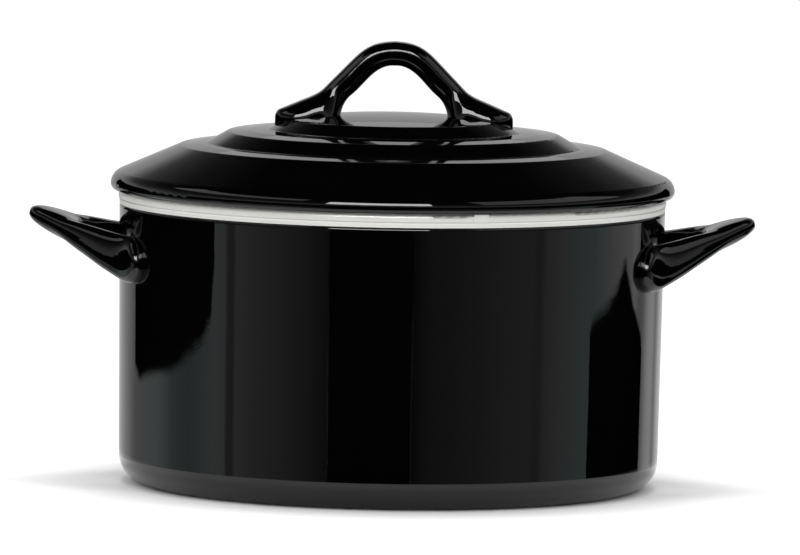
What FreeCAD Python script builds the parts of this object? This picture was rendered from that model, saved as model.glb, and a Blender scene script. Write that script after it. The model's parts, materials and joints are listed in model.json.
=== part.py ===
# Round enamelled steel casserole with two loop handles, a steel rim and a stepped lid.
# Units are millimetres. +Z is up, +X points at the right handle, the base stands on z = 0.
import FreeCAD, Part

import math
import os

from FreeCAD import Vector

# Pot body, one drawn sheet
POT_RADIUS = 120.2
POT_HEIGHT = 129.0
POT_SHEET = 1.4
WALL_DRAFT_DEG = 0.7
BASE_BEND_RADIUS = 11.0
BASE_DISH_RADIUS = 86.0
BASE_DISH_DEPTH = 1.0
BASE_DISH_STEP = 3.0
BASE_DISH_BEND = 3.0
NECK_RUN = 0.9
NECK_BEND_RADIUS = 0.2

# Steel rim band, a channel bent over the edge of the wall
RIM_SHEET = 0.5
RIM_DEPTH = 5.9
RIM_LOWER_LEG = 1.7
RIM_INNER_LEG = 5.0
RIM_BEAD_STAND = 0.4
RIM_BEAD_STEP = 0.8
RIM_BEAD_BEND = 1.2
RIM_INNER_BEND = 0.7
RIM_CREASE_BEND = 0.3
RIM_SIDE_GAP = 0.2
RIM_TOP_GAP = 0.4
RIM_LAP_LENGTH = 6.4
RIM_LAP_SHEET = 0.7
RIM_LAP_EDGE_RADIUS = 0.3
RIM_LAP_ANGLE_DEG = 18.5

# Lid, one drawn sheet with three steps, a curled edge and a locating skirt
LID_SHEET = 1.2
LID_OVERHANG = 4.0
LID_CROWN_RISE = 34.6
LID_EDGE_HEIGHT = 6.6
LID_EDGE_SHARE = 0.98
LID_CURL_RADIUS = 1.2
CROWN_FLAT_RADIUS = 21.0
CROWN_ROUND_SHARE = 0.9
TOP_STEP_RADIUS = 46.5
TOP_STEP_DROP = 2.5
TOP_STEP_FALL = 4.6
TOP_STEP_RUN = 8.5
MIDDLE_STEP_RADIUS = 72.9
MIDDLE_TREAD_FALL = 1.2
MIDDLE_STEP_FALL = 5.2
MIDDLE_STEP_RUN = 9.0
OUTER_STEP_RADIUS = 93.8
OUTER_TREAD_FALL = 1.1
STEP_BEND_RADIUS = 2.6
SKIRT_DEPTH = 6.6
SKIRT_GAP = 0.8
SKIRT_BEND_RADIUS = 0.8

# Lid handle, an arched strap with round feet
ARCH_RISE = 32.1
ARCH_STRAP = 10.8
ARCH_CROWN_HALF = 10.5
ARCH_CROWN_SHARE = 0.958
ARCH_BREADTH = 16.0
ARCH_END_HALF = 52.4
ARCH_FOOT_LENGTH = 28.8
ARCH_FOOT_RUN = 19.3
ARCH_FOOT_DEG = 23.0
ARCH_FOOT_THICKNESS = 6.3
ARCH_FLARE_RADIUS = 16.0
ARCH_HEEL_RADIUS = 7.0
ARCH_HEEL_LEAD = 0.5
ARCH_FLARE_SHARE = 0.36

# Side handles, flat ears that turn into upright feet on the wall
EAR_REACH = 39.7
EAR_GRIP_WIDTH = 22.0
EAR_THICKNESS = 9.7
EAR_TAPER = 0.16
EAR_NOSE_HALF = 7.6
EAR_NOSE_SHARE = 0.968
EAR_LEG_WIDTH = 10.5
EAR_GAP_RADIUS = 9.0
EAR_FOOT_TOE_DEG = 5.4
EAR_FOOT_RUN = 13.9
EAR_FLARE_RADIUS = 20.0
EAR_RISE_DEG = 22.0
EAR_FOOT_DROP = 23.5
EAR_FOOT_STAND = 5.0
EAR_END_HALF = 53.5
EAR_FLARE_SHARE = 1.0
EAR_LEG_SHARE = 0.25
EAR_GAP_SHARE = 0.25

# Feet of all three handles
FOOT_BREADTH = 23.5
FOOT_EDGE_RADIUS = 3.0
FOOT_TIP = 0.15
FOOT_SEAT_GAP = 0.1
FOOT_ROOT_DEPTH = 6.0

# Rounded cross-section of the handles and the sections along half a handle
STRAP_SECTION_POWER = 2.7
STRAP_POINT_COUNT = 20
STRAP_GRIP_COUNT = 5
STRAP_FOOT_COUNT = 9

# Heights and radii that the pieces share
RIM_BOTTOM = POT_HEIGHT - RIM_DEPTH
WALL_TOP = POT_HEIGHT - RIM_SHEET - RIM_TOP_GAP
LID_CROWN = POT_HEIGHT + LID_CROWN_RISE
LID_RADIUS = POT_RADIUS + LID_OVERHANG
EAR_FOOT_HEIGHT = RIM_BOTTOM - EAR_FOOT_DROP


def turn(before, corner, after):
    """Signed turn of a flat line at a corner, positive to the left."""
    first = (corner[0] - before[0], corner[1] - before[1])
    second = (after[0] - corner[0], after[1] - corner[1])
    cross = first[0] * second[1] - first[1] * second[0]
    dot = first[0] * second[0] + first[1] * second[1]
    return math.atan2(cross, dot)


def offset_line(points, distance):
    """The flat line moved to its left by a distance, with mitred corners."""
    normals = []
    for start, end in zip(points[:-1], points[1:]):
        length = math.hypot(end[0] - start[0], end[1] - start[1])
        normals.append((-(end[1] - start[1]) / length, (end[0] - start[0]) / length))
    moved = []
    for index, point in enumerate(points):
        one = normals[max(index - 1, 0)]
        two = normals[min(index, len(normals) - 1)]
        scale = distance / (1.0 + one[0] * two[0] + one[1] * two[1])
        moved.append((point[0] + scale * (one[0] + two[0]), point[1] + scale * (one[1] + two[1])))
    return moved


def rounded_edges(points, radii, place):
    """Edges of a line with a round at each inner corner; place maps flat points to space."""
    edges = []
    start = points[0]
    for before, corner, after, radius in zip(points[:-2], points[1:-1], points[2:], radii):
        angle = abs(turn(before, corner, after))
        reach = radius * math.tan(angle / 2.0)
        back = math.dist(corner, before)
        ahead = math.dist(corner, after)
        enter = tuple(c + (b - c) * reach / back for b, c in zip(before, corner))
        leave = tuple(c + (a - c) * reach / ahead for a, c in zip(after, corner))
        chord_middle = tuple((e + v) / 2.0 for e, v in zip(enter, leave))
        depth = math.dist(corner, chord_middle)
        bulge = radius / math.cos(angle / 2.0) - radius
        middle = tuple(c + (m - c) * bulge / depth for m, c in zip(chord_middle, corner))
        edges.append(Part.LineSegment(place(start), place(enter)).toShape())
        edges.append(Part.Arc(place(enter), place(middle), place(leave)).toShape())
        start = leave
    edges.append(Part.LineSegment(place(start), place(points[-1])).toShape())
    return edges


def on_section(point):
    """A radius and height on the plane of revolution."""
    return Vector(point[0], 0.0, point[1])


def sheet_of_revolution(points, inside_radii, thickness, side):
    """A bent sheet turned about the axis; side is +1 with the metal left of the line, else -1."""
    near_radii = []
    far_radii = []
    for before, corner, after, radius in zip(points[:-2], points[1:-1], points[2:], inside_radii):
        bends_to_metal = turn(before, corner, after) * side > 0
        near_radii.append(radius + thickness if bends_to_metal else radius)
        far_radii.append(radius if bends_to_metal else radius + thickness)
    far_points = offset_line(points, side * thickness)
    near = rounded_edges(points, near_radii, on_section)
    far = rounded_edges(far_points, far_radii, on_section)
    start_edge = Part.LineSegment(on_section(points[0]), on_section(far_points[0])).toShape()
    end_edge = Part.LineSegment(on_section(points[-1]), on_section(far_points[-1])).toShape()
    outline = Part.Wire(Part.__sortEdges__(near + [end_edge] + far + [start_edge]))
    return Part.Face(outline).revolve(Vector(0, 0, 0), Vector(0, 0, 1), 360)


def wall_radius(height):
    """Outer radius of the drafted wall at a height."""
    return POT_RADIUS - (RIM_BOTTOM - height) * math.tan(math.radians(WALL_DRAFT_DEG))


def make_pot_body():
    """Drawn pot with a dished base and a neck that takes the rim band."""
    neck_radius = POT_RADIUS - RIM_SHEET - RIM_SIDE_GAP
    points = [
        (0.0, BASE_DISH_DEPTH),
        (BASE_DISH_RADIUS - BASE_DISH_STEP, BASE_DISH_DEPTH),
        (BASE_DISH_RADIUS, 0.0),
        (wall_radius(0.0), 0.0),
        (wall_radius(RIM_BOTTOM - NECK_RUN), RIM_BOTTOM - NECK_RUN),
        (neck_radius, RIM_BOTTOM),
        (neck_radius, WALL_TOP),
    ]
    bends = [BASE_DISH_BEND, BASE_DISH_BEND, BASE_BEND_RADIUS, NECK_BEND_RADIUS, NECK_BEND_RADIUS]
    return sheet_of_revolution(points, bends, POT_SHEET, 1)


def rim_inner_radius():
    """Radius of the rim band's bare inner face."""
    neck_inner = POT_RADIUS - RIM_SHEET - RIM_SIDE_GAP - POT_SHEET
    return neck_inner - RIM_SIDE_GAP - RIM_SHEET


def make_rim_band():
    """Rim channel with a lower leg, a standing bead and a lapped joint at the front right."""
    bead_radius = POT_RADIUS + RIM_BEAD_STAND
    bead_start = RIM_BOTTOM + RIM_LOWER_LEG + RIM_BEAD_STEP
    inner_radius = rim_inner_radius()
    points = [
        (POT_RADIUS, RIM_BOTTOM),
        (POT_RADIUS, RIM_BOTTOM + RIM_LOWER_LEG),
        (bead_radius, bead_start),
        (bead_radius, POT_HEIGHT),
        (inner_radius, POT_HEIGHT),
        (inner_radius, POT_HEIGHT - RIM_INNER_LEG),
    ]
    bends = [RIM_CREASE_BEND, RIM_CREASE_BEND, RIM_BEAD_BEND, RIM_INNER_BEND]
    band = sheet_of_revolution(points, bends, RIM_SHEET, 1)
    lap_inner = bead_radius - RIM_SHEET / 2.0
    lap_outer = bead_radius + RIM_LAP_SHEET
    lap_points = [
        (lap_inner, bead_start),
        (lap_outer, bead_start),
        (lap_outer, POT_HEIGHT),
        (lap_inner, POT_HEIGHT),
    ]
    edges = rounded_edges(lap_points, [RIM_LAP_EDGE_RADIUS] * 2, on_section)
    edges.append(Part.LineSegment(on_section(lap_points[-1]), on_section(lap_points[0])).toShape())
    sweep = math.degrees(RIM_LAP_LENGTH / bead_radius)
    lap = Part.Face(Part.Wire(edges)).revolve(Vector(0, 0, 0), Vector(0, 0, 1), sweep)
    lap.rotate(Vector(0, 0, 0), Vector(0, 0, 1), RIM_LAP_ANGLE_DEG - 90.0 - sweep / 2.0)
    return band.fuse(lap)


def lid_points():
    """Corners of the lid's outer face, from the crown to the foot of the skirt."""
    top_step = LID_CROWN - TOP_STEP_DROP
    middle_step = top_step - TOP_STEP_FALL - MIDDLE_TREAD_FALL
    outer_step = middle_step - MIDDLE_STEP_FALL - OUTER_TREAD_FALL
    skirt_radius = rim_inner_radius() - SKIRT_GAP
    return [
        (0.0, LID_CROWN),
        (CROWN_FLAT_RADIUS, LID_CROWN),
        (TOP_STEP_RADIUS, top_step),
        (TOP_STEP_RADIUS + TOP_STEP_RUN, top_step - TOP_STEP_FALL),
        (MIDDLE_STEP_RADIUS, middle_step),
        (MIDDLE_STEP_RADIUS + MIDDLE_STEP_RUN, middle_step - MIDDLE_STEP_FALL),
        (OUTER_STEP_RADIUS, outer_step),
        (LID_RADIUS, POT_HEIGHT + LID_EDGE_HEIGHT),
        (LID_RADIUS, POT_HEIGHT),
        (skirt_radius, POT_HEIGHT),
        (skirt_radius, POT_HEIGHT - SKIRT_DEPTH),
    ]


def lid_bends():
    """Inside bend radius at each corner of the lid's outer face."""
    points = lid_points()
    crown_turn = abs(turn(*points[:3]))
    crown_radius = CROWN_ROUND_SHARE * CROWN_FLAT_RADIUS / math.tan(crown_turn / 2.0) - LID_SHEET
    edge_reach = LID_EDGE_SHARE * LID_EDGE_HEIGHT - LID_CURL_RADIUS - LID_SHEET
    edge_radius = edge_reach / math.tan(abs(turn(*points[6:9])) / 2.0) - LID_SHEET
    steps = [STEP_BEND_RADIUS] * 5
    return [crown_radius] + steps + [edge_radius, LID_CURL_RADIUS, SKIRT_BEND_RADIUS]


def make_lid_shell():
    """Stepped lid with its edge curled under and turned down into the pot."""
    return sheet_of_revolution(lid_points(), lid_bends(), LID_SHEET, -1)


def lid_core():
    """Full solid under the lid's outer face, raised by the seat gap of the handle's feet."""
    points = lid_points()[:8]
    bends = []
    for before, corner, after, radius in zip(points[:-2], points[1:-1], points[2:], lid_bends()):
        bends.append(radius + LID_SHEET if turn(before, corner, after) < 0 else radius)
    floor = [points[-1], (points[-1][0], POT_HEIGHT), (0.0, POT_HEIGHT), points[0]]
    edges = rounded_edges(points, bends, on_section)
    for start, end in zip(floor[:-1], floor[1:]):
        edges.append(Part.LineSegment(on_section(start), on_section(end)).toShape())
    core = Part.Face(Part.Wire(edges)).revolve(Vector(0, 0, 0), Vector(0, 0, 1), 360)
    core.translate(Vector(0, 0, FOOT_SEAT_GAP))
    return core


def lid_height(radius):
    """Height of the lid's outer face at a radius, bends left out."""
    points = lid_points()
    for inner, outer in zip(points[:-1], points[1:]):
        if inner[0] <= radius <= outer[0]:
            share = (radius - inner[0]) / (outer[0] - inner[0])
            return inner[1] + share * (outer[1] - inner[1])
    return POT_HEIGHT


def crossing(first, first_deg, second, second_deg):
    """Point where two flat lines meet, each given by a point and a direction."""
    one = (math.cos(math.radians(first_deg)), math.sin(math.radians(first_deg)))
    two = (math.cos(math.radians(second_deg)), math.sin(math.radians(second_deg)))
    gap = (second[0] - first[0], second[1] - first[1])
    along = (gap[0] * two[1] - gap[1] * two[0]) / (one[0] * two[1] - one[1] * two[0])
    return (first[0] + along * one[0], first[1] + along * one[1])


def points_along(points, radii, shares):
    """Flat points at shares of the length of a rounded line."""
    wire = Part.Wire(rounded_edges(points, radii, on_section))
    places = [wire.OrderedEdges[0].firstVertex().Point]
    for share in shares[1:-1]:
        left = share * wire.Length
        for edge in wire.OrderedEdges:
            if left <= edge.Length:
                places.append(edge.valueAt(edge.getParameterByLength(left)))
                break
            left -= edge.Length
    flat = [(place.x, place.z) for place in places]
    return [points[0]] + flat[1:] + [points[-1]]


def even_shares(count):
    """Shares from 0 to 1 at an even pitch."""
    return [index / count for index in range(count + 1)]


def closing_shares(count):
    """Shares from 0 to 1 that come closer together towards 1."""
    return [math.sin(math.pi * share / 2.0) for share in even_shares(count)]


def round_end(left, radius):
    """Share of the full size at a distance from the end of a rounded edge."""
    return math.sqrt(1.0 - (1.0 - left / radius) ** 2) if left < radius else 1.0


def section_wire(inner, outer, across, breadth, taper):
    """Closed rounded outline from an inner to an outer point; taper thins its outer side."""
    centre = (inner + outer) * 0.5
    half_depth = (outer - inner) * 0.5
    side = across - half_depth * (across.dot(half_depth) / half_depth.dot(half_depth))
    side.normalize()
    points = []
    for index in range(STRAP_POINT_COUNT):
        angle = 2.0 * math.pi * index / STRAP_POINT_COUNT
        flat = math.copysign(abs(math.cos(angle)) ** (2.0 / STRAP_SECTION_POWER), math.cos(angle))
        rise = math.copysign(abs(math.sin(angle)) ** (2.0 / STRAP_SECTION_POWER), math.sin(angle))
        half_breadth = 0.5 * breadth * (1.0 - taper * flat)
        points.append(centre + half_depth * flat + side * (half_breadth * rise))
    curve = Part.BSplineCurve()
    curve.interpolate(Points=points, PeriodicFlag=True)
    return Part.Wire(curve.toShape())


class Strap:
    """Half of a handle: a grip of even depth and a foot that widens into its seat."""

    def __init__(self, across, mirror_axis, breadth, taper, flare_share):
        self.across = across
        self.mirror_axis = mirror_axis
        self.breadth = breadth
        self.taper = taper
        self.flare_share = flare_share
        self.stations = []

    def add_grip(self, inner_points, outer_points):
        """Stations of the grip, which keep its breadth."""
        for inner, outer in zip(inner_points, outer_points):
            self.stations.append((inner, outer, self.breadth, self.taper))

    def add_foot(self, inner_points, outer_points):
        """Stations of the foot, with a round end and a rounded top edge."""
        end = (inner_points[-1] + outer_points[-1]) * 0.5
        length = (outer_points[-1] - outer_points[0]).Length
        for inner, outer in zip(inner_points[1:], outer_points[1:]):
            left = ((inner + outer) * 0.5 - end).Length + FOOT_TIP
            run = min((1.0 - (outer_points[-1] - outer).Length / length) / self.flare_share, 1.0)
            breadth = self.breadth + (FOOT_BREADTH - self.breadth) * run
            drop = FOOT_EDGE_RADIUS * (1.0 - round_end(left, FOOT_EDGE_RADIUS))
            down = (inner - outer).normalize()
            breadth *= round_end(left, FOOT_BREADTH / 2.0)
            self.stations.append((inner, outer + down * drop, breadth, self.taper * (1.0 - run)))

    def mirrored(self, shape):
        """The shape on the other side of the handle's middle."""
        return shape.mirror(Vector(0, 0, 0), self.mirror_axis)

    def solid(self):
        """One solid of two halves; the skin starts past the middle so that they join smoothly."""
        sections = []
        for inner, outer, breadth, taper in self.stations:
            sections.append(section_wire(inner, outer, self.across, breadth, taper))
        skin = Part.makeLoft([self.mirrored(sections[1])] + sections, True, False)
        bounds = skin.BoundBox
        size = 2.0 * bounds.DiagonalLength
        block = Part.makeBox(size, size, size, Vector(-size / 2.0, -size / 2.0, 0.0))
        towards_half = FreeCAD.Rotation(Vector(0, 0, 1), self.mirror_axis)
        block.Placement = FreeCAD.Placement(Vector(0, 0, 0), towards_half)
        block.translate(bounds.Center - self.mirror_axis * bounds.Center.dot(self.mirror_axis))
        half = skin.common(block)
        return half.fuse(self.mirrored(half))


def make_lid_handle():
    """Arched strap whose two round feet sit on the lid's crown and first step."""
    top = LID_CROWN + ARCH_RISE
    seat = lid_height(ARCH_END_HALF)
    crown_end = (ARCH_CROWN_HALF, top)
    foot_end = (ARCH_END_HALF, seat + ARCH_FOOT_THICKNESS)
    foot_rise = ARCH_FOOT_RUN * math.tan(math.radians(ARCH_FOOT_DEG))
    flare = (foot_end[0] - ARCH_FOOT_RUN, foot_end[1] + foot_rise)
    slope = math.atan2(top - flare[1], flare[0] - ARCH_CROWN_HALF)
    crown_radius = ARCH_CROWN_SHARE * ARCH_CROWN_HALF / math.tan(slope / 2.0)
    outer_line = [(0.0, top), crown_end, flare]
    inner_line = offset_line(outer_line, -ARCH_STRAP)
    heel_half = ARCH_END_HALF - ARCH_FOOT_LENGTH
    heel = crossing(inner_line[1], -math.degrees(slope), (heel_half, top), 90.0)
    back = ARCH_HEEL_RADIUS * math.tan((math.pi / 2.0 - slope) / 2.0) + ARCH_HEEL_LEAD
    heel_start = (heel[0] - back * math.cos(slope), heel[1] + back * math.sin(slope))
    rise = (ARCH_STRAP * math.sin(slope), ARCH_STRAP * math.cos(slope))
    flare_start = (heel_start[0] + rise[0], heel_start[1] + rise[1])
    outer_grip = [(0.0, top), crown_end, flare_start]
    inner_grip = [inner_line[0], inner_line[1], heel_start]
    outer_foot = [flare_start, flare, foot_end]
    root = (heel_half, seat - FOOT_ROOT_DEPTH)
    inner_foot = [heel_start, heel, root, (ARCH_END_HALF, seat - FOOT_ROOT_DEPTH)]
    strap = Strap(Vector(0, 1, 0), Vector(1, 0, 0), ARCH_BREADTH, 0.0, ARCH_FLARE_SHARE)
    shares = even_shares(STRAP_GRIP_COUNT)
    inner_points = points_along(inner_grip, [crown_radius - ARCH_STRAP], shares)
    outer_points = points_along(outer_grip, [crown_radius], shares)
    strap.add_grip([on_section(p) for p in inner_points], [on_section(p) for p in outer_points])
    shares = closing_shares(STRAP_FOOT_COUNT)
    inner_points = points_along(inner_foot, [ARCH_HEEL_RADIUS, ARCH_HEEL_RADIUS], shares)
    outer_points = points_along(outer_foot, [ARCH_FLARE_RADIUS], shares)
    strap.add_foot([on_section(p) for p in inner_points], [on_section(p) for p in outer_points])
    return strap.solid().cut(lid_core())


def ear_point(point, foot_radius):
    """A point of the side handle's plan, raised with its distance from the wall."""
    rise = (point[0] - foot_radius) * math.tan(math.radians(EAR_RISE_DEG))
    return Vector(point[0], point[1], EAR_FOOT_HEIGHT + max(rise, 0.0))


def make_side_handle():
    """Right-hand ear: a flat grip whose legs turn upright into round feet on the wall."""
    wall = wall_radius(EAR_FOOT_HEIGHT)
    nose = wall + EAR_REACH
    gap_nose = nose - EAR_GRIP_WIDTH
    foot_turn = math.asin(EAR_END_HALF / (wall + EAR_FOOT_STAND))
    foot_end = ((wall + EAR_FOOT_STAND) * math.cos(foot_turn), EAR_END_HALF)
    root_radius = wall - FOOT_ROOT_DEPTH
    root_end = (root_radius * math.cos(foot_turn), root_radius * math.sin(foot_turn))
    foot_deg = 90.0 + math.degrees(foot_turn) + EAR_FOOT_TOE_DEG
    toe = math.radians(foot_deg)
    flare = (foot_end[0] - EAR_FOOT_RUN * math.cos(toe), foot_end[1] - EAR_FOOT_RUN * math.sin(toe))
    nose_end = (nose, EAR_NOSE_HALF)
    leg_turn = math.atan2(nose - flare[0], flare[1] - EAR_NOSE_HALF)
    leg_deg = 90.0 + math.degrees(leg_turn)
    nose_radius = EAR_NOSE_SHARE * EAR_NOSE_HALF / math.tan(leg_turn / 2.0)
    inner_leg = offset_line([nose_end, flare], EAR_LEG_WIDTH)
    gap_end = crossing(inner_leg[0], leg_deg, (gap_nose, 0.0), 90.0)
    knee = crossing(gap_end, leg_deg, root_end, foot_deg)
    strap = Strap(Vector(0, 0, 1), Vector(0, 1, 0), EAR_THICKNESS, EAR_TAPER, EAR_FLARE_SHARE)
    leg_start = tuple(n + (f - n) * EAR_LEG_SHARE for n, f in zip(nose_end, flare))
    gap_start = tuple(g + (k - g) * EAR_GAP_SHARE for g, k in zip(gap_end, knee))
    shares = even_shares(STRAP_GRIP_COUNT)
    inner_points = points_along([(gap_nose, 0.0), gap_end, gap_start], [EAR_GAP_RADIUS], shares)
    outer_points = points_along([(nose, 0.0), nose_end, leg_start], [nose_radius], shares)
    strap.add_grip(
        [ear_point(point, foot_end[0]) for point in inner_points],
        [ear_point(point, foot_end[0]) for point in outer_points],
    )
    shares = closing_shares(STRAP_FOOT_COUNT)
    inner_points = points_along([gap_start, knee, root_end], [EAR_FLARE_RADIUS], shares)
    outer_points = points_along([leg_start, flare, foot_end], [EAR_FLARE_RADIUS], shares)
    strap.add_foot(
        [ear_point(point, foot_end[0]) for point in inner_points],
        [ear_point(point, foot_end[0]) for point in outer_points],
    )
    core_bottom = EAR_FOOT_HEIGHT - FOOT_BREADTH
    core = Part.makeCone(
        wall_radius(core_bottom) + FOOT_SEAT_GAP,
        wall_radius(RIM_BOTTOM) + FOOT_SEAT_GAP,
        RIM_BOTTOM - core_bottom,
        Vector(0, 0, core_bottom),
    )
    return strap.solid().cut(core)


def main():
    """Build every piece and write one file for each."""
    os.makedirs("parts", exist_ok=True)
    side_handle = make_side_handle()
    pieces = {
        "pot_body": make_pot_body(),
        "rim_band": make_rim_band(),
        "side_handle_right": side_handle,
        "side_handle_left": side_handle.mirror(Vector(0, 0, 0), Vector(1, 0, 0)),
        "lid_shell": make_lid_shell(),
        "lid_handle": make_lid_handle(),
    }
    for name, shape in pieces.items():
        shape.exportStep("parts/" + name + ".step")
        print(name, shape.isValid(), len(shape.Solids), round(shape.Volume, 1))


main()
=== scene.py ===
"""Glossy black enamelled casserole: straight pot, steel rim band, stepped lid, three strap handles."""

import bpy
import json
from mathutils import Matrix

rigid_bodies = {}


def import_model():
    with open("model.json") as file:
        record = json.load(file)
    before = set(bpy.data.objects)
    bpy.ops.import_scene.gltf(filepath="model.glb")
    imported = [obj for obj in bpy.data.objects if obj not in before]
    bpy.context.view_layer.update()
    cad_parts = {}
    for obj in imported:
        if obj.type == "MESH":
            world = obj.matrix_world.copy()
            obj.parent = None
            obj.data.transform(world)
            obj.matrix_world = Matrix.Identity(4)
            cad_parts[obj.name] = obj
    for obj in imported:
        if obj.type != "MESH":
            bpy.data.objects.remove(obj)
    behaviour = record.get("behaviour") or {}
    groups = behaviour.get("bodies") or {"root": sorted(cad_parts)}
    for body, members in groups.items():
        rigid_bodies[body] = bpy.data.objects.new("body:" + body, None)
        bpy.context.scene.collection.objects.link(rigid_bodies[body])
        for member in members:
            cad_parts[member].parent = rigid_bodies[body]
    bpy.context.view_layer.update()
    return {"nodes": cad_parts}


for leftover in list(bpy.data.objects):
    bpy.data.objects.remove(leftover)

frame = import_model()

import json
import logging
import math
from dataclasses import dataclass
from enum import Enum
from typing import Iterable

import bmesh
from mathutils import Matrix, Vector

logging.basicConfig(level=logging.INFO, format="%(message)s")
log = logging.getLogger("casserole")

Socket = bpy.types.NodeSocket
Shade = tuple[float, float, float]
Paint = tuple[float, float, float, float]
Span = tuple[float, float]
Station = tuple[float, float, float]

IMAGE_WIDTH = 800
IMAGE_HEIGHT = 555
QUARTER_TURN = 90.0
HALF_TURN = 180.0
WHITE = (1.0, 1.0, 1.0, 1.0)
UNIT = (0.0, 1.0)
WALL_RADIUS = 1.5
FLAG_RADIUS = 1.45
HIGH_GAP_RADIUS = 3.9
WALL_LOW = -0.6
WALL_HIGH = 0.03

# Places of the Mix node's colour sockets, which share their names with its other sockets.
MIX_SHARE = 0
MIX_FIRST_COLOUR = 6
MIX_SECOND_COLOUR = 7
MIX_COLOUR = 2


class Piece(Enum):
    """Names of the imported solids."""

    POT = "pot_body"
    RIM = "rim_band"
    RIGHT_EAR = "side_handle_right"
    LEFT_EAR = "side_handle_left"
    LID = "lid_shell"
    ARCH = "lid_handle"


class Ray(Enum):
    """Kinds of ray that a Light Path node tells apart."""

    CAMERA = "Is Camera Ray"
    GLOSSY = "Is Glossy Ray"
    TRANSMISSION = "Is Transmission Ray"


class NodeTree:
    """Short calls for building a shader node tree."""

    def __init__(self, tree: bpy.types.NodeTree) -> None:
        """Empties the tree.

        Args:
            tree: the node tree of a material or world.
        """
        self.tree = tree
        tree.nodes.clear()

    def link(self, source: Socket, target: Socket) -> None:
        """Links two sockets."""
        self.tree.links.new(source, target)

    def put(self, socket: Socket, value: object) -> None:
        """Gives a socket its input.

        Args:
            socket: the socket.
            value: another socket to link it to, or a plain value.
        """
        if isinstance(value, Socket):
            self.link(value, socket)
        else:
            socket.default_value = value

    def add(self, kind: str, **inputs: object) -> bpy.types.Node:
        """Adds a node.

        Args:
            kind: the node's type.
            **inputs: values or sockets, with underscores for spaces in socket names.

        Returns:
            The new node.
        """
        node = self.tree.nodes.new(kind)
        for name, value in inputs.items():
            self.put(node.inputs[name.replace("_", " ")], value)
        return node

    def math(self, operation: str, first: object, second: object = 0.0) -> Socket:
        """Adds a Math node.

        Args:
            operation: the node's operation.
            first: the first value or socket.
            second: the second value or socket.

        Returns:
            The result's socket.
        """
        node = self.tree.nodes.new("ShaderNodeMath")
        node.operation = operation
        for socket, value in zip(node.inputs, (first, second)):
            self.put(socket, value)
        return node.outputs[0]

    def place(self) -> Socket:
        """Adds the object coordinates and returns their socket."""
        return self.add("ShaderNodeTexCoord").outputs["Object"]

    def axis_distance(self, split: bpy.types.Node) -> Socket:
        """Works out the distance from the pot's upright axis.

        Args:
            split: the node that splits the object coordinates.

        Returns:
            The distance's socket.
        """
        square_x = self.math("POWER", split.outputs["X"], 2.0)
        square_y = self.math("POWER", split.outputs["Y"], 2.0)
        return self.math("SQRT", self.math("ADD", square_x, square_y))

    def noise(self, place: Socket, scale: float, detail: float) -> Socket:
        """Adds a noise pattern.

        Args:
            place: the socket of object coordinates.
            scale: the pattern's scale.
            detail: how many finer layers it has.

        Returns:
            The pattern's socket.
        """
        return self.add("ShaderNodeTexNoise", Vector=place, Scale=scale, Detail=detail).outputs["Fac"]

    def stretch(self, value: Socket, source: Span, target: Span) -> Socket:
        """Maps one range on another and stops at its ends.

        Args:
            value: the socket to map.
            source: the range that it has.
            target: the range that it gets.

        Returns:
            The mapped value's socket.
        """
        node = self.add(
            "ShaderNodeMapRange", Value=value, From_Min=source[0], From_Max=source[1],
            To_Min=target[0], To_Max=target[1],
        )
        return node.outputs[0]

    def blend(self, share: Socket, first: Paint, second: Paint) -> Socket:
        """Mixes two colours.

        Args:
            share: the socket of the second colour's share.
            first: the colour at share 0.
            second: the colour at share 1.

        Returns:
            The mixed colour's socket.
        """
        node = self.add("ShaderNodeMix")
        node.data_type = "RGBA"
        self.put(node.inputs[MIX_SHARE], share)
        self.put(node.inputs[MIX_FIRST_COLOUR], first)
        self.put(node.inputs[MIX_SECOND_COLOUR], second)
        return node.outputs[MIX_COLOUR]

    def ramp(self, share: Socket, stops: list[tuple[float, Shade]]) -> Socket:
        """Adds a colour ramp.

        Args:
            share: the socket that picks the colour, from 0 to 1.
            stops: positions in rising order, each with a colour.

        Returns:
            The colour's socket.
        """
        node = self.add("ShaderNodeValToRGB", Fac=share)
        elements = node.color_ramp.elements
        # A new element shifts those after it, so the colours wait until all of them are there.
        for position, _ in stops[1:-1]:
            elements.new(position)
        elements[len(stops) - 1].position = stops[-1][0]
        elements[0].position = stops[0][0]
        for element, (_, colour) in zip(elements, stops):
            element.color = (*colour, 1.0)
        return node.outputs[0]

    def bump(
        self, height: Socket, strength: float, depth: float, normal: Socket | None = None
    ) -> Socket:
        """Adds a bump.

        Args:
            height: the socket of the relief.
            strength: the bump's strength.
            depth: the depth in metres that a relief of 1 stands for.
            normal: the socket of the normal to start from, if not the surface's own.

        Returns:
            The bent normal's socket.
        """
        node = self.add("ShaderNodeBump", Height=height, Strength=strength, Distance=depth)
        if normal is not None:
            self.link(normal, node.inputs["Normal"])
        return node.outputs["Normal"]

    def mix_shaders(self, share: Socket, first: Socket, second: Socket) -> Socket:
        """Mixes two shaders.

        Args:
            share: the socket of the second shader's share.
            first: the shader at share 0.
            second: the shader at share 1.

        Returns:
            The mixed shader's socket.
        """
        node = self.add("ShaderNodeMixShader", Fac=share)
        self.link(first, node.inputs[1])
        self.link(second, node.inputs[2])
        return node.outputs[0]

    def surface(self, shader: Socket) -> None:
        """Ends a material's tree in a shader."""
        self.add("ShaderNodeOutputMaterial", Surface=shader)

    def shine(self, colour: object) -> None:
        """Ends a material's tree in a plain glow of strength 1."""
        self.surface(self.add("ShaderNodeEmission", Color=colour, Strength=1.0).outputs[0])


def new_material(name: str) -> tuple[bpy.types.Material, NodeTree]:
    """Makes an empty material.

    Args:
        name: the material's name.

    Returns:
        The material and its tree.
    """
    material = bpy.data.materials.new(name)
    material.use_nodes = True
    return material, NodeTree(material.node_tree)


@dataclass(frozen=True)
class SoftTread:
    """The outer part of a lid tread, from one radius to another, which falls by a little."""

    start: float
    end: float
    fall: float


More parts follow.
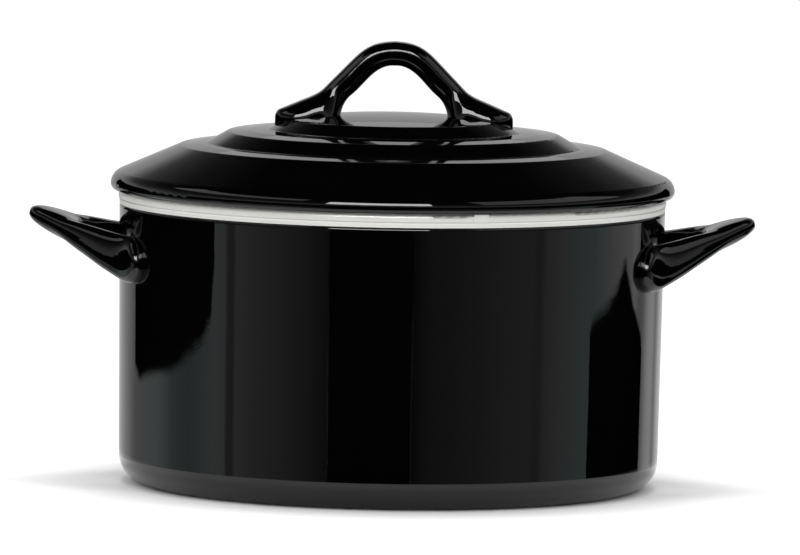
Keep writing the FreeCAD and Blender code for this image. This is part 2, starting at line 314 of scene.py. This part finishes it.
@dataclass(frozen=True)
class Enamel:
    """Glossy black vitreous enamel: near-black glass over steel, very slightly wavy."""

    name: str = "black_enamel"
    dark: Paint = (0.0004, 0.0004, 0.0005, 1.0)
    pale: Paint = (0.0011, 0.0011, 0.0013, 1.0)
    refraction: float = 1.5
    smoothest: float = 0.016
    roughest: float = 0.026
    wave_scale: float = 38.0
    wave_detail: float = 2.0
    wave_strength: float = 0.004
    wave_depth: float = 0.01
    grain_scale: float = 1400.0
    grain_detail: float = 1.0
    grain_strength: float = 0.004
    grain_depth: float = 0.001
    soft_treads: tuple[SoftTread, ...] = ()

    def soften_treads(self, tree: NodeTree, place: Socket, normal: Socket) -> Socket:
        """Rolls the outer part of each tread over a little, as thick enamel does at an edge.

        Args:
            tree: the material's tree.
            place: the socket of object coordinates.
            normal: the normal to start from.

        Returns:
            The bent normal.
        """
        if not self.soft_treads:
            return normal
        radius = tree.axis_distance(tree.add("ShaderNodeSeparateXYZ", Vector=place))
        for tread in self.soft_treads:
            roll = tree.stretch(radius, (tread.start, tread.end), (tread.fall, 0.0))
            normal = tree.bump(roll, 1.0, 1.0, normal)
        return normal

    def make(self) -> bpy.types.Material:
        """Builds the enamel.

        Returns:
            The material.
        """
        material, tree = new_material(self.name)
        place = tree.place()
        cloud = tree.noise(place, self.wave_scale, self.wave_detail)
        grain = tree.noise(place, self.grain_scale, self.grain_detail)
        wave = tree.bump(cloud, self.wave_strength, self.wave_depth)
        dimples = tree.bump(grain, self.grain_strength, self.grain_depth, wave)
        shader = tree.add(
            "ShaderNodeBsdfPrincipled", Base_Color=tree.blend(grain, self.dark, self.pale),
            Roughness=tree.stretch(cloud, UNIT, (self.smoothest, self.roughest)),
            IOR=self.refraction, Normal=self.soften_treads(tree, place, dimples),
        )
        tree.surface(shader.outputs[0])
        return material


@dataclass(frozen=True)
class RimSteel:
    """Stainless steel strip with drawn lines that run round it, and painted shade in the crease under
    its bead.
    """

    name: str = "rim_steel"
    dark: Paint = (0.78, 0.775, 0.745, 1.0)
    pale: Paint = (0.86, 0.855, 0.825, 1.0)
    metallic: float = 0.3
    smoothest: float = 0.3
    roughest: float = 0.5
    smear_scale: float = 45.0
    smear_detail: float = 3.0
    line_scale: float = 3500.0
    line_detail: float = 3.0
    line_strength: float = 0.15
    line_depth: float = 0.0002
    crease_height: float = 0.1254
    crease_half: float = 0.00045
    painted_crease_shade: float = 0.42

    def shade_crease(self, tree: NodeTree, height: Socket, colour: Socket) -> Socket:
        """Darkens the colour towards the crease: painted shade in the groove under the bead.

        Args:
            tree: the material's tree.
            height: the socket of the height above the base.
            colour: the colour's socket.

        Returns:
            The darkened colour's socket.
        """
        # Painted shade: the steel's colour is scaled down in a thin band at the crease's height.
        off_crease = tree.math("ABSOLUTE", tree.math("SUBTRACT", height, self.crease_height))
        shaded = tree.add("ShaderNodeVectorMath")
        shaded.operation = "SCALE"
        tree.link(colour, shaded.inputs[0])
        tree.link(
            tree.stretch(off_crease, (0.0, self.crease_half), (self.painted_crease_shade, 1.0)),
            shaded.inputs["Scale"],
        )
        return shaded.outputs[0]

    def make(self) -> bpy.types.Material:
        """Builds the steel.

        Returns:
            The material.
        """
        material, tree = new_material(self.name)
        place = tree.place()
        split = tree.add("ShaderNodeSeparateXYZ", Vector=place)
        height = split.outputs["Z"]
        round_rim = tree.add("ShaderNodeCombineXYZ", X=tree.axis_distance(split), Y=height)
        lines = tree.noise(round_rim.outputs[0], self.line_scale, self.line_detail)
        smears = tree.noise(place, self.smear_scale, self.smear_detail)
        colour = tree.blend(lines, self.dark, self.pale)
        shader = tree.add(
            "ShaderNodeBsdfPrincipled", Base_Color=self.shade_crease(tree, height, colour),
            Roughness=tree.stretch(smears, UNIT, (self.smoothest, self.roughest)),
            Metallic=self.metallic, Normal=tree.bump(lines, self.line_strength, self.line_depth),
        )
        tree.surface(shader.outputs[0])
        return material


@dataclass(frozen=True)
class PaleFloor:
    """Matt floor, almost white and faintly cloudy, which may fade out from one radius to another."""

    name: str = "floor"
    darkest: float = 0.975
    palest: float = 0.99
    cloud_scale: float = 3.0
    cloud_detail: float = 2.0
    fade: Span | None = None

    def fade_out(self, tree: NodeTree, place: Socket, matte: Socket) -> Socket:
        """Turns the floor clear with the distance from the pot's axis.

        Args:
            tree: the material's tree.
            place: the socket of object coordinates.
            matte: the floor's shader.

        Returns:
            The fading shader's socket.
        """
        radius = tree.axis_distance(tree.add("ShaderNodeSeparateXYZ", Vector=place))
        clear = tree.add("ShaderNodeBsdfTransparent").outputs[0]
        return tree.mix_shaders(tree.stretch(radius, self.fade, (1.0, 0.0)), clear, matte)

    def make(self) -> bpy.types.Material:
        """Builds the floor's finish.

        Returns:
            The material.
        """
        material, tree = new_material(self.name)
        place = tree.place()
        cloud = tree.noise(place, self.cloud_scale, self.cloud_detail)
        tone = tree.stretch(cloud, UNIT, (self.darkest, self.palest))
        colour = tree.add("ShaderNodeCombineColor", Red=tone, Green=tone, Blue=tone)
        shader = tree.add("ShaderNodeBsdfDiffuse", Color=colour.outputs[0]).outputs[0]
        if self.fade is not None:
            shader = self.fade_out(tree, place, shader)
        tree.surface(shader)
        return material


def grey(shade: float) -> Shade:
    """Makes a neutral colour of one shade."""
    return (shade, shade, shade)


@dataclass(frozen=True)
class Glow:
    """Plain glow of a card that only reflections see."""

    name: str
    shade: Shade

    def make(self) -> bpy.types.Material:
        """Builds the glow.

        Returns:
            The material.
        """
        material, tree = new_material(self.name)
        tree.shine((*self.shade, 1.0))
        return material


@dataclass(frozen=True)
class WallGlow:
    """Glow of a wall that changes with the azimuth, in degrees from the front."""

    name: str
    stops: tuple[tuple[float, Shade], ...]

    def make(self) -> bpy.types.Material:
        """Builds the glow.

        Returns:
            The material.
        """
        material, tree = new_material(self.name)
        split = tree.add("ShaderNodeSeparateXYZ", Vector=tree.place())
        forward = tree.math("MULTIPLY", split.outputs["Y"], -1.0)
        azimuth = tree.math("DEGREES", tree.math("ARCTAN2", split.outputs["X"], forward))
        share = tree.math("DIVIDE", tree.math("ADD", azimuth, HALF_TURN), 2.0 * HALF_TURN)
        stops = [((stop + HALF_TURN) / (2.0 * HALF_TURN), colour) for stop, colour in self.stops]
        tree.shine(tree.ramp(share, stops))
        return material


@dataclass(frozen=True)
class DomeGlow:
    """Glow that fades with the elevation seen from the pot, in degrees."""

    name: str = "dome_glow"
    centre_height: float = 0.13
    stops: tuple[tuple[float, float], ...] = (
        (0.0, 0.50), (14.0, 0.47), (21.0, 0.13), (25.0, 0.08), (32.0, 0.03), (44.0, 0.0), (46.0, 0.0),
    )

    def make(self) -> bpy.types.Material:
        """Builds the glow.

        Returns:
            The material.
        """
        material, tree = new_material(self.name)
        split = tree.add("ShaderNodeSeparateXYZ", Vector=tree.place())
        rise = tree.math("SUBTRACT", split.outputs["Z"], self.centre_height)
        elevation = tree.math("DEGREES", tree.math("ARCTAN2", rise, tree.axis_distance(split)))
        share = tree.math("DIVIDE", elevation, QUARTER_TURN)
        stops = [(stop / QUARTER_TURN, grey(shade)) for stop, shade in self.stops]
        tree.shine(tree.ramp(share, stops))
        return material


def place_mesh(name: str, mesh: bmesh.types.BMesh, finish: bpy.types.Material) -> bpy.types.Object:
    """Makes a mesh an object at the origin.

    Args:
        name: the object's name.
        mesh: the mesh, which is freed.
        finish: its material.

    Returns:
        The object.
    """
    data = bpy.data.meshes.new(name)
    mesh.to_mesh(data)
    mesh.free()
    data.materials.append(finish)
    thing = bpy.data.objects.new(name, data)
    bpy.context.collection.objects.link(thing)
    return thing


def only_in_reflections(thing: bpy.types.Object) -> None:
    """Hides a stage object from every ray but reflections.

    Args:
        thing: the stage object.
    """
    thing.visible_camera = False
    thing.visible_diffuse = False
    thing.visible_shadow = False
    thing.visible_transmission = False


@dataclass(frozen=True)
class ReflectionCard:
    """A curved card round the pot; each station is an azimuth from the front, a low and a high edge."""

    glow: Glow | WallGlow
    stations: tuple[Station, ...]
    radius: float = WALL_RADIUS
    strip_degrees: float = 4.0

    def strip_sides(self) -> list[Station]:
        """Divides the card into narrow upright strips.

        Returns:
            The stations at the strips' sides.
        """
        sides = []
        for first, second in zip(self.stations[:-1], self.stations[1:]):
            count = max(1, math.ceil(abs(second[0] - first[0]) / self.strip_degrees))
            for index in range(count):
                share = index / count
                sides.append(tuple(start + (end - start) * share for start, end in zip(first, second)))
        return sides + [self.stations[-1]]

    def build(self) -> bpy.types.Object:
        """Builds the card, which only reflections see.

        Returns:
            The card's object.
        """
        mesh = bmesh.new()
        pairs = []
        for azimuth, low, high in self.strip_sides():
            turn = math.radians(azimuth - QUARTER_TURN)
            x, y = self.radius * math.cos(turn), self.radius * math.sin(turn)
            pairs.append((mesh.verts.new((x, y, low)), mesh.verts.new((x, y, high))))
        for (low_a, high_a), (low_b, high_b) in zip(pairs[:-1], pairs[1:]):
            mesh.faces.new((low_a, low_b, high_b, high_a))
        card = place_mesh(self.glow.name, mesh, self.glow.make())
        only_in_reflections(card)
        return card


@dataclass(frozen=True)
class Dome:
    """Dark dome over a low grey backdrop that the lid mirrors."""

    radius: float = 4.0
    low: float = -1.2
    profile_steps: int = 24
    turn_steps: int = 64
    glow: DomeGlow = DomeGlow()

    def build(self) -> bpy.types.Object:
        """Builds the dome, which only reflections see.

        Returns:
            The dome's object.
        """
        mesh = bmesh.new()
        profile = [mesh.verts.new((self.radius, 0.0, self.low))]
        for index in range(self.profile_steps + 1):
            turn = math.pi / 2.0 * index / self.profile_steps
            point = (self.radius * math.cos(turn), 0.0, self.radius * math.sin(turn))
            profile.append(mesh.verts.new(point))
        edges = [mesh.edges.new(pair) for pair in zip(profile[:-1], profile[1:])]
        bmesh.ops.spin(
            mesh, geom=profile + edges, cent=(0, 0, 0), axis=(0, 0, 1), dvec=(0, 0, 0),
            angle=math.tau, steps=self.turn_steps, use_merge=True, use_duplicate=False,
        )
        dome = place_mesh("dome", mesh, self.glow.make())
        only_in_reflections(dome)
        return dome


@dataclass(frozen=True)
class Lamp:
    """Soft rectangular lamp aimed at the pot, which reflections don't see."""

    name: str = "overhead"
    place: tuple[float, float, float] = (0.0, 0.1, 1.9)
    width: float = 0.8
    depth: float = 0.5
    power: float = 16.0
    aim_height: float = 0.1

    def build(self) -> bpy.types.Object:
        """Builds the lamp.

        Returns:
            The lamp's object.
        """
        data = bpy.data.lights.new(self.name, "AREA")
        data.shape = "RECTANGLE"
        data.size = self.width
        data.size_y = self.depth
        data.energy = self.power
        lamp = bpy.data.objects.new(self.name, data)
        bpy.context.collection.objects.link(lamp)
        place = Vector(self.place)
        aim = Vector((0, 0, self.aim_height)) - place
        turned = aim.to_track_quat("-Z", "Y").to_matrix().to_4x4()
        lamp.matrix_world = Matrix.Translation(place) @ turned
        lamp.visible_glossy = False
        return lamp


@dataclass(frozen=True)
class Studio:
    """Pale floor, white surround, a soft lamp and what the enamel mirrors."""

    floor_radius: float = 6.0
    near_floor_radius: float = 0.20
    near_floor_full: float = 0.145
    near_floor_lift: float = 0.00005
    disc_segments: int = 128
    fill: float = 1.0
    dome: Dome = Dome()
    lamp: Lamp = Lamp()
    cards: tuple[ReflectionCard, ...] = ()

    def make_world(self) -> None:
        """Sets a white surround for camera and mirror rays and a soft fill for the rest."""
        world = bpy.data.worlds.new("studio")
        world.use_nodes = True
        bpy.context.scene.world = world
        tree = NodeTree(world.node_tree)
        path = tree.add("ShaderNodeLightPath")
        seen = path.outputs[Ray.CAMERA.value]
        for ray in (Ray.GLOSSY, Ray.TRANSMISSION):
            seen = tree.math("MAXIMUM", seen, path.outputs[ray.value])
        fill = tree.add("ShaderNodeBackground", Color=WHITE, Strength=self.fill)
        white = tree.add("ShaderNodeBackground", Color=WHITE, Strength=1.0)
        surround = tree.mix_shaders(seen, fill.outputs[0], white.outputs[0])
        tree.add("ShaderNodeOutputWorld", Surface=surround)

    def make_disc(
        self, name: str, radius: float, height: float, finish: bpy.types.Material
    ) -> bpy.types.Object:
        """Builds a round floor.

        Args:
            name: the object's name.
            radius: the disc's radius in metres.
            height: its height in metres.
            finish: its material.

        Returns:
            The disc's object.
        """
        mesh = bmesh.new()
        bmesh.ops.create_circle(
            mesh, cap_ends=True, segments=self.disc_segments, radius=radius,
            matrix=Matrix.Translation((0, 0, height)),
        )
        return place_mesh(name, mesh, finish)

    def make_floors(self) -> None:
        """Builds the floor that keeps the pot's shadow, and the part of it that reflections see."""
        far = self.make_disc("floor", self.floor_radius, 0.0, PaleFloor().make())
        far.visible_glossy = False
        fading = PaleFloor(name="near_floor", fade=(self.near_floor_full, self.near_floor_radius))
        near = self.make_disc(
            "near_floor", self.near_floor_radius, self.near_floor_lift, fading.make()
        )
        only_in_reflections(near)

    def build(self) -> None:
        """Builds the surround, the floors, the dome, the lamp and the cards."""
        self.make_world()
        self.make_floors()
        self.dome.build()
        self.lamp.build()
        for card in self.cards:
            card.build()


@dataclass(frozen=True)
class PhotoCamera:
    """Long-lens camera at the photograph's viewing angle, shifted so the base's middle is at a pixel."""

    distance: float = 5.0
    height: float = 0.521
    target_height: float = 0.095
    pixels_per_metre: float = 2270.0
    roll_deg: float = 1.0
    base_x: float = 387.6
    base_y: float = 483.8
    sensor_width: float = 36.0
    far_limit: float = 50.0

    def build(self) -> bpy.types.Object:
        """Builds the camera and makes it the scene's.

        Returns:
            The camera's object.
        """
        data = bpy.data.cameras.new("photo_camera")
        camera = bpy.data.objects.new("photo_camera", data)
        bpy.context.collection.objects.link(camera)
        place = Vector((0.0, -self.distance, self.height))
        aim = Vector((0.0, 0.0, self.target_height)) - place
        level = aim.to_track_quat("-Z", "Y").to_matrix().to_4x4()
        roll = Matrix.Rotation(math.radians(self.roll_deg), 4, "Z")
        camera.matrix_world = Matrix.Translation(place) @ level @ roll
        focal_pixels = self.pixels_per_metre * aim.length
        data.sensor_width = self.sensor_width
        data.lens = focal_pixels * self.sensor_width / IMAGE_WIDTH
        bpy.context.view_layer.update()
        base = camera.matrix_world.inverted() @ Vector((0.0, 0.0, 0.0))
        seen_x = IMAGE_WIDTH / 2.0 + focal_pixels * base.x / -base.z
        seen_y = IMAGE_HEIGHT / 2.0 - focal_pixels * base.y / -base.z
        data.shift_x = (seen_x - self.base_x) / IMAGE_WIDTH
        data.shift_y = (self.base_y - seen_y) / IMAGE_WIDTH
        data.clip_end = self.far_limit
        bpy.context.scene.camera = camera
        return camera


@dataclass(frozen=True)
class SubAssembly:
    """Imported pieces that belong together."""

    nodes: dict[str, bpy.types.Object]

    def dress(self, pieces: Iterable[Piece], material: bpy.types.Material) -> None:
        """Gives pieces a finish.

        Args:
            pieces: the pieces.
            material: their finish.
        """
        for piece in pieces:
            for slot in self.nodes[piece.value].material_slots:
                slot.material = material
            log.info("dressed %s in %s", piece.value, material.name)


@dataclass(frozen=True)
class Pot(SubAssembly):
    """Straight pot with its two ear handles."""

    def build(self, enamel: bpy.types.Material) -> None:
        """Dresses the pot and its ears in enamel."""
        self.dress([Piece.POT, Piece.RIGHT_EAR, Piece.LEFT_EAR], enamel)


@dataclass(frozen=True)
class RimBand(SubAssembly):
    """Bare steel band over the pot's edge."""

    steel: RimSteel = RimSteel()

    def build(self) -> None:
        """Dresses the band in steel."""
        self.dress([Piece.RIM], self.steel.make())


@dataclass(frozen=True)
class Lid(SubAssembly):
    """Stepped lid with its strap handle."""

    middle_tread: SoftTread = SoftTread(start=0.063, end=0.0722, fall=0.00068)
    outer_tread: SoftTread = SoftTread(start=0.0855, end=0.0932, fall=0.00043)

    def build(self, enamel: bpy.types.Material) -> None:
        """Dresses the lid in enamel with softer treads, and its handle in the pot's enamel.

        Args:
            enamel: the pot's enamel.
        """
        treads = (self.middle_tread, self.outer_tread)
        self.dress([Piece.LID], Enamel(name="lid_enamel", soft_treads=treads).make())
        self.dress([Piece.ARCH], enamel)


def left_wall() -> WallGlow:
    """Makes the glow of the wall on the left, from the back to the front.

    Returns:
        The glow.
    """
    return WallGlow("left_wall", (
        (-180.0, grey(0.70)), (-156.0, grey(0.62)), (-143.0, grey(0.50)), (-134.0, grey(0.34)),
        (-112.0, (0.50, 0.56, 0.56)), (-101.0, (0.32, 0.38, 0.37)), (-91.0, (0.30, 0.36, 0.35)),
        (-77.0, (0.52, 0.58, 0.58)), (-71.5, (0.50, 0.54, 0.54)),
        (-70.5, grey(0.22)), (-67.5, grey(0.22)), (-66.5, grey(0.42)), (-57.0, grey(0.32)),
        (-46.0, grey(0.25)), (-35.0, grey(0.16)), (-25.0, grey(0.07)),
    ))


def right_wall() -> WallGlow:
    """Makes the glow of the wall on the right, from the front to the back.

    Returns:
        The glow.
    """
    return WallGlow("right_wall", (
        (9.0, grey(0.03)), (16.0, grey(0.10)), (26.0, grey(0.125)), (37.0, grey(0.165)),
        (48.0, grey(0.22)), (60.0, grey(0.24)), (62.0, grey(0.20)), (64.0, grey(0.20)),
        (66.0, grey(0.32)), (75.0, grey(0.43)),
        (80.0, (0.40, 0.47, 0.47)), (93.0, (0.40, 0.52, 0.52)),
        (104.0, grey(0.58)), (119.0, grey(0.60)), (122.0, grey(0.72)), (127.0, grey(0.40)),
        (131.0, grey(0.42)), (137.0, grey(0.85)), (143.0, grey(0.80)), (149.0, grey(0.40)),
        (156.0, grey(0.75)), (180.0, grey(0.75)),
    ))


def left_flag() -> ReflectionCard:
    """Makes the black flag on the left, whose lower edge is curved.

    Returns:
        The card.
    """
    edge = (
        (-134.5, -0.09), (-129.5, -0.098), (-102.5, -0.094), (-93.5, -0.088), (-84.0, -0.079),
        (-79.0, -0.067), (-77.2, -0.04),
    )
    stations = tuple((azimuth, low, WALL_HIGH) for azimuth, low in edge)
    return ReflectionCard(Glow("left_flag", grey(0.0)), stations, FLAG_RADIUS)


def right_spire() -> ReflectionCard:
    """Makes the black card on the right, whose upper edge rises to a peak.

    Returns:
        The card.
    """
    edge = (
        (90.3, -0.07), (91.6, -0.064), (104.0, -0.049), (107.5, -0.044), (112.0, -0.032),
        (113.2, -0.03), (114.5, -0.032), (118.5, -0.044), (121.0, -0.052), (129.5, -0.068),
        (130.5, -0.075),
    )
    stations = tuple((azimuth, WALL_LOW, high) for azimuth, high in edge)
    return ReflectionCard(Glow("right_spire", grey(0.0)), stations, FLAG_RADIUS)


def level_card(
    glow: Glow | WallGlow, sides: Span, low: float = WALL_LOW, high: float = WALL_HIGH,
    radius: float = WALL_RADIUS,
) -> ReflectionCard:
    """Makes a card whose edges are level.

    Args:
        glow: the card's glow.
        sides: the azimuths of its two sides, in degrees from the front.
        low: the height of its lower edge in metres.
        high: the height of its upper edge in metres.
        radius: its distance from the pot's axis in metres.

    Returns:
        The card.
    """
    return ReflectionCard(glow, tuple((side, low, high) for side in sides), radius)


def studio_cards() -> tuple[ReflectionCard, ...]:
    """Lists the cards; the pot's wall mirrors each at half its azimuth.

    Returns:
        The walls with the gap between them, the high cards, the back panel, the softbox and the flags.
    """
    black = grey(0.0)
    return (
        level_card(left_wall(), sides=(-180.0, -25.0)),
        level_card(Glow("front_gap", black), sides=(-24.9, 8.9)),
        level_card(right_wall(), sides=(9.0, 180.0)),
        level_card(
            Glow("high_gap", black), sides=(-155.0, 155.0), low=-0.35, high=3.6, radius=HIGH_GAP_RADIUS,
        ),
        level_card(Glow("left_high", grey(0.8)), sides=(-122.0, -40.0), low=1.2, high=1.75),
        level_card(Glow("right_high", grey(0.75)), sides=(38.0, 115.0), low=0.88, high=1.9),
        level_card(Glow("back_panel", grey(0.65)), sides=(172.0, 188.0), low=0.52, high=0.9),
        level_card(Glow("softbox", grey(11.0)), sides=(-27.0, 16.0), low=0.68, high=1.2),
        left_flag(),
        right_spire(),
    )


def main() -> None:
    """Dresses the casserole and builds the studio and the camera."""
    nodes = frame["nodes"]
    enamel = Enamel().make()
    Pot(nodes).build(enamel)
    RimBand(nodes).build()
    Lid(nodes).build(enamel)
    Studio(cards=studio_cards()).build()
    PhotoCamera().build()
    bpy.context.scene.view_settings.view_transform = "Standard"


if __name__ == "__main__":
    main()
